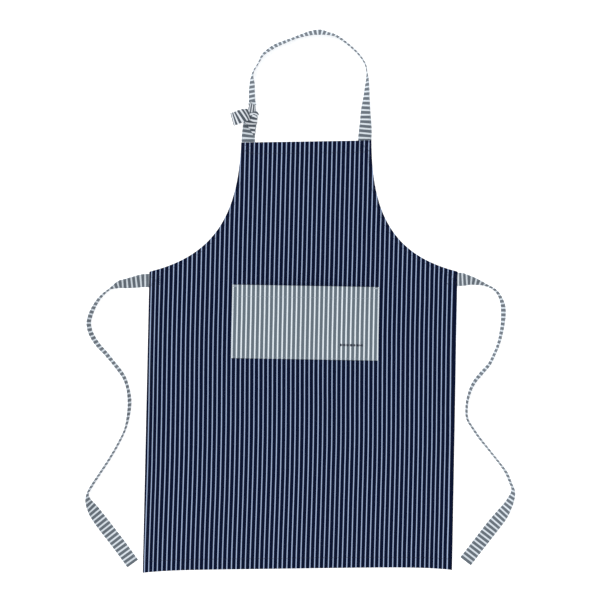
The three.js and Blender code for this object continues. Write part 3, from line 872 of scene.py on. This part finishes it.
bottom_seam = -SKIRT_LENGTH + BOTTOM_HEM - BOTTOM_SEAM
side_seam = SKIRT_WIDTH / 2 - SIDE_HEM + SIDE_SEAM
apron_sewing("bottom_hem_stitching", [
    on_apron([(-SKIRT_WIDTH / 2 + 0.001, bottom_seam), (SKIRT_WIDTH / 2 - 0.001, bottom_seam)])], "skirt")
for side, sign in (("left", -1), ("right", 1)):
    run = on_apron([(sign * side_seam, bottom_seam + 0.002), (sign * side_seam, -0.002)])
    apron_sewing(f"side_hem_stitching_{side}", [run], "skirt")
    points, slopes = armhole(np.linspace(0.03, 0.97, 80))
    inward = np.column_stack([-slopes[:, 1], slopes[:, 0]])
    run = on_apron((points + inward * ARMHOLE_SEAM) * [sign, 1])
    made = apron_sewing(f"armhole_stitching_{side}", [run])
    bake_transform(made)
top_seam = BIB_HEIGHT - TOP_HEM + SIDE_SEAM
top_seam_end = BIB_TOP_WIDTH / 2 - 0.010
apron_sewing("bib_top_stitching", [
    on_apron([(-top_seam_end, top_seam), (top_seam_end, top_seam)])], "bib")

tacks = ["tie_left_tack", "tie_right_tack", "neck_long_tack", "neck_short_tack"]
for name, (middle_u, middle_v, *_) in zip(tacks, SEWN_ENDS):
    body = "skirt" if "tie" in name else "bib"
    apron_sewing(name, tack_runs(middle_u, middle_v), body)

# ---- Pocket -------------------------------------------------------------------------------------

MOUTH = POCKET_HEIGHT / 2


def on_pocket(a, b):
    """Where a point of the pocket lies, and the height of the skirt under it."""
    x = POCKET_MIDDLE[0] + a * math.cos(POCKET_TILT) - b * math.sin(POCKET_TILT)
    y = POCKET_MIDDLE[1] + a * math.sin(POCKET_TILT) + b * math.cos(POCKET_TILT)
    return WAIST.x + x, WAIST.y + y, panel_top(x - LEAN * y, y)


def pocket_lift(a, b):
    """How far the pocket's underside stands off the skirt."""
    across = np.clip(np.abs(a) / (POCKET_WIDTH / 2), 0, 1)
    dome = POCKET_DOME * (1 - across ** 2) ** 2 * smooth(b, -MOUTH, MOUTH)
    inside = np.minimum(POCKET_WIDTH / 2 - np.abs(a), b + MOUTH)
    inside = np.minimum(inside, np.clip(MOUTH - POCKET_HEM - b, 0, None) + POCKET_TURNING)
    turning = 0.0008 - 0.0005 * smooth(inside, POCKET_TURNING, POCKET_TURNING + 0.012)
    slack = 0.0005 * np.sin(52 * a + 9 * b + 1) + 0.0004 * np.sin(-31 * a + 44 * b + 2.2)
    held = smooth(np.minimum(POCKET_WIDTH / 2 - np.abs(a), b + MOUTH), 0.006, 0.045)
    return 0.0003 + turning + dome + (slack + 0.0007) * held


def pocket_sheet(name, a, b, lift, thick, rim):
    """A layer of the pocket on a grid of places, lift above the pocket's underside."""
    a, b = np.meshgrid(a, b)
    x, y, skirt = on_pocket(a, b)
    inset = np.minimum(np.minimum(a - a.min(), a.max() - a), np.minimum(b - b.min(), b.max() - b))
    dropped = roll_off(inset, 0.0006)
    under = skirt + pocket_lift(a, b) + lift
    low = np.where(b > b.max() - 1e-9, under, skirt + rim) if rim is not None else under
    top = np.stack([x, y, under + thick - 0.0005 * dropped * (thick / CLOTH)], -1)
    bottom = np.stack([x, y, under * (1 - dropped) + np.minimum(low, top[..., 2] - 0.0001) * dropped], -1)
    cloth = np.stack([a + POCKET_WIDTH / 2 - POCKET_STRIPES, b], -1)
    made = closed_sheet(name, top, bottom, cloth, POCKET_CLOTH)
    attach(made, "skirt")
    return made


pocket_a = to_ends(-POCKET_WIDTH / 2, POCKET_WIDTH / 2, 0.004)
pocket = pocket_sheet("pocket_cloth", pocket_a, to_ends(-MOUTH, MOUTH, 0.004), 0, CLOTH, rim=0.0002)
hem_a = to_ends(-POCKET_WIDTH / 2 + 0.0006, POCKET_WIDTH / 2 - 0.0006, 0.004)
hem_b = to_ends(MOUTH - POCKET_HEM, MOUTH - 0.0004, 0.004, HEM_EDGES)
pocket_hem = pocket_sheet("pocket_top_hem_cloth", hem_a, hem_b, -0.0007, 0.0005, rim=None)
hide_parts("pocket_panel")
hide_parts("pocket_top_hem")


def pocket_u(inset, top):
    """A line round the pocket's sides and bottom, from mouth to mouth."""
    side, low = POCKET_WIDTH / 2 - inset, -MOUTH + inset
    return np.array([(-side, top), (-side, low), (side, low), (side, top)])


def pocket_turning():
    """The raw edge folded in behind the pocket's sides and bottom."""
    places = 53                          # along each of the three sides
    lines = []
    for share in to_ends(0, 1, 0.25, HEM_EDGES / POCKET_TURNING):
        line = pocket_u(0.0006 + share * (POCKET_TURNING - 0.0006), MOUTH - POCKET_HEM - 0.001)
        corners = distances(line)
        wanted = np.concatenate([np.linspace(corners[i], corners[i + 1], places)[:-1] for i in range(3)])
        lines.append(at_distances(line, corners, np.append(wanted, corners[-1])))
    place = np.array(lines)
    x, y, skirt = on_pocket(place[..., 0], place[..., 1])
    base = skirt + pocket_lift(place[..., 0], place[..., 1]) - 0.0008
    top = np.stack([x, y, base + 0.0006], -1)[::-1]
    bottom = np.stack([x, y, base + 0.0001], -1)[::-1]
    flat = (place + [POCKET_WIDTH / 2 - POCKET_STRIPES, 0])[::-1]
    made = closed_sheet("pocket_edge_turning_cloth", top, bottom, flat, POCKET_CLOTH)
    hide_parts("pocket_edge_turning")
    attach(made, "skirt")
    return made


turning = pocket_turning()


def pocket_run(points):
    """A run of sewing along a line of (a, b) points on the pocket."""
    points = np.array(points, float)
    dense = at_distances(points, distances(points), np.linspace(0, distances(points)[-1], 300))
    x, y, skirt = on_pocket(*dense.T)
    height = skirt + pocket_lift(*dense.T) + CLOTH
    return np.column_stack([x, y, height]), np.tile([0, 0, 1.0], (len(x), 1))


def pocket_sewing(name, runs, material=PALE_THREAD, slot="pale_thread", **spacing):
    made = sew(f"{name}_thread", runs, material, slot, **spacing)
    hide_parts(name)
    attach(made, "skirt")
    return made


def satin(middle_a, middle_b, width, height_at, pitch=0.00045):
    """Upright threads side by side. height_at gives their length at a share of the width."""
    count = round(width / pitch)
    runs = []
    for share in (np.arange(count) + 0.5) / count * 2 - 1:
        half = height_at(share) / 2
        a = middle_a + share * width / 2
        runs.append(pocket_run([(a, middle_b - half), (a, middle_b + half)]))
    return runs


u_line = pocket_u(POCKET_SEAM, MOUTH - 0.007)
pocket_seams = [
    pocket_sewing("pocket_stitching", [pocket_run(u_line[i:i + 2]) for i in range(3)]),
    pocket_sewing("pocket_hem_stitching", [pocket_run([
        (-POCKET_WIDTH / 2 + 0.006, MOUTH - POCKET_HEM + 0.0026),
        (POCKET_WIDTH / 2 - 0.006, MOUTH - POCKET_HEM + 0.0026)])]),
]
for side, sign in (("left", -1), ("right", 1)):
    bar = satin(sign * (POCKET_WIDTH / 2 - 0.006), MOUTH - 0.003, 0.009, lambda share: 0.003)
    pocket_seams.append(pocket_sewing(f"pocket_mouth_tack_{side}", bar, stitch=0.003, gap=0))

MARK = {"a": 0.0975, "b": -0.0455, "width": 0.049, "height": 0.0070, "motifs": 7}


def mark_runs():
    """A row of plain diamonds with a bar between each two."""
    step = MARK["width"] / MARK["motifs"]
    runs = []
    for i in range(MARK["motifs"]):
        a = MARK["a"] + (i + 0.5) * step - MARK["width"] / 2
        diamond = satin(a - step * 0.12, MARK["b"], step * 0.62,
                        lambda share: MARK["height"] * (1.08 - abs(share)))
        bar = satin(a + step * 0.38, MARK["b"], step * 0.16, lambda share: MARK["height"] * 0.8)
        runs += diamond + bar
    return runs


mark = pocket_sewing("pocket_mark", mark_runs(), NAVY_THREAD, "navy_thread", stitch=0.006, gap=0)
pocket_seams.append(mark)
